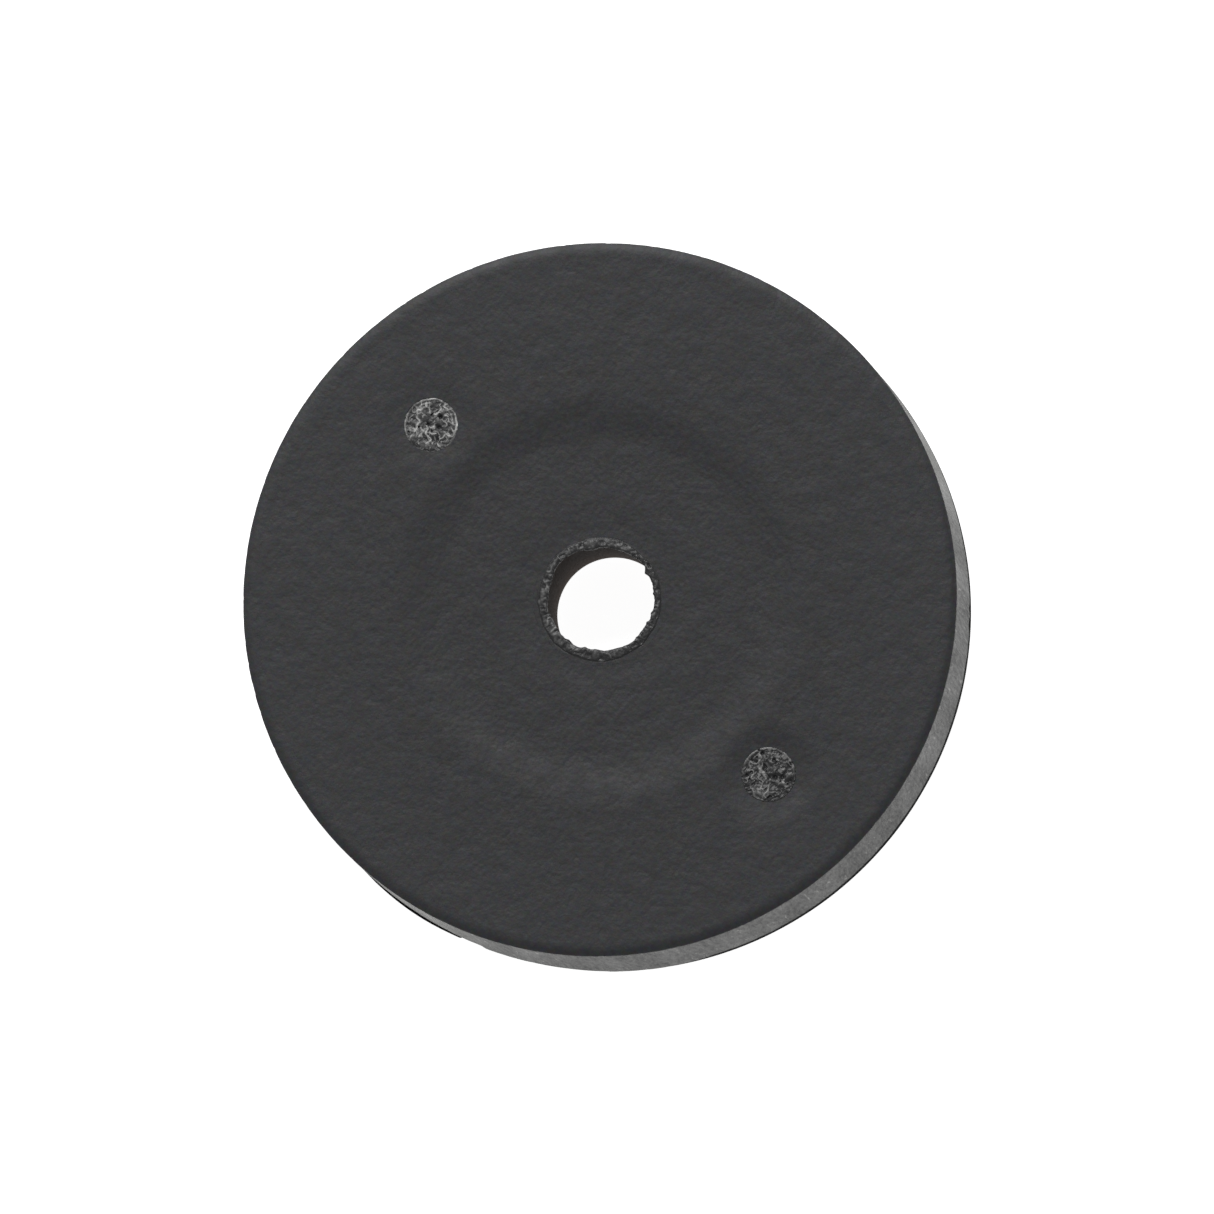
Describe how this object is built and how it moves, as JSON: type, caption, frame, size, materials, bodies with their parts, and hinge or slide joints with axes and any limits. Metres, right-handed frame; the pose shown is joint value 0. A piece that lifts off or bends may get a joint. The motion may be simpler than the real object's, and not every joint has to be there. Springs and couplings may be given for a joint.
{
  "type": "security tag detacher",
  "caption": "Flat round black puck with a hole through its middle, a shallow dish and formed pin ends in its face, and ring magnets inside that release a hard tag's lock.",
  "frame": {"origin": "middle of the back face, on the axis of the hole", "axes": "+Z out of the front face along the hole, the two pins on the X axis"},
  "size_m": [0.05, 0.05, 0.011],
  "materials": {
    "shell_plastic": "black moulded ABS with a fine even grain and faint moulding streaks on the side",
    "formed_plastic": "black plastic, hot-formed ends torn and rough",
    "pad_rubber": "dull black rubber sheet",
    "tape": "black double-sided acrylic tape",
    "carrier_plastic": "natural grey moulded plastic",
    "zinc_plated_steel": "zinc-plated mild steel",
    "nickel_plate": "bright nickel plating over a sintered ring magnet",
    "foam": "closed-cell foam"
  },
  "bodies": {
    "root": {"front_shell": "shell_plastic", "base_plate": "shell_plastic", "centre_sleeve": "formed_plastic", "stake_pin_1": "formed_plastic", "stake_pin_2": "formed_plastic", "rear_pad": "pad_rubber", "pad_tape": "tape", "magnet_carrier": "carrier_plastic", "magnet_spacer": "carrier_plastic", "back_iron": "zinc_plated_steel", "inner_ring_magnet": "nickel_plate", "outer_ring_magnet": "nickel_plate", "front_shim": "foam"}
  },
  "joints": []
}
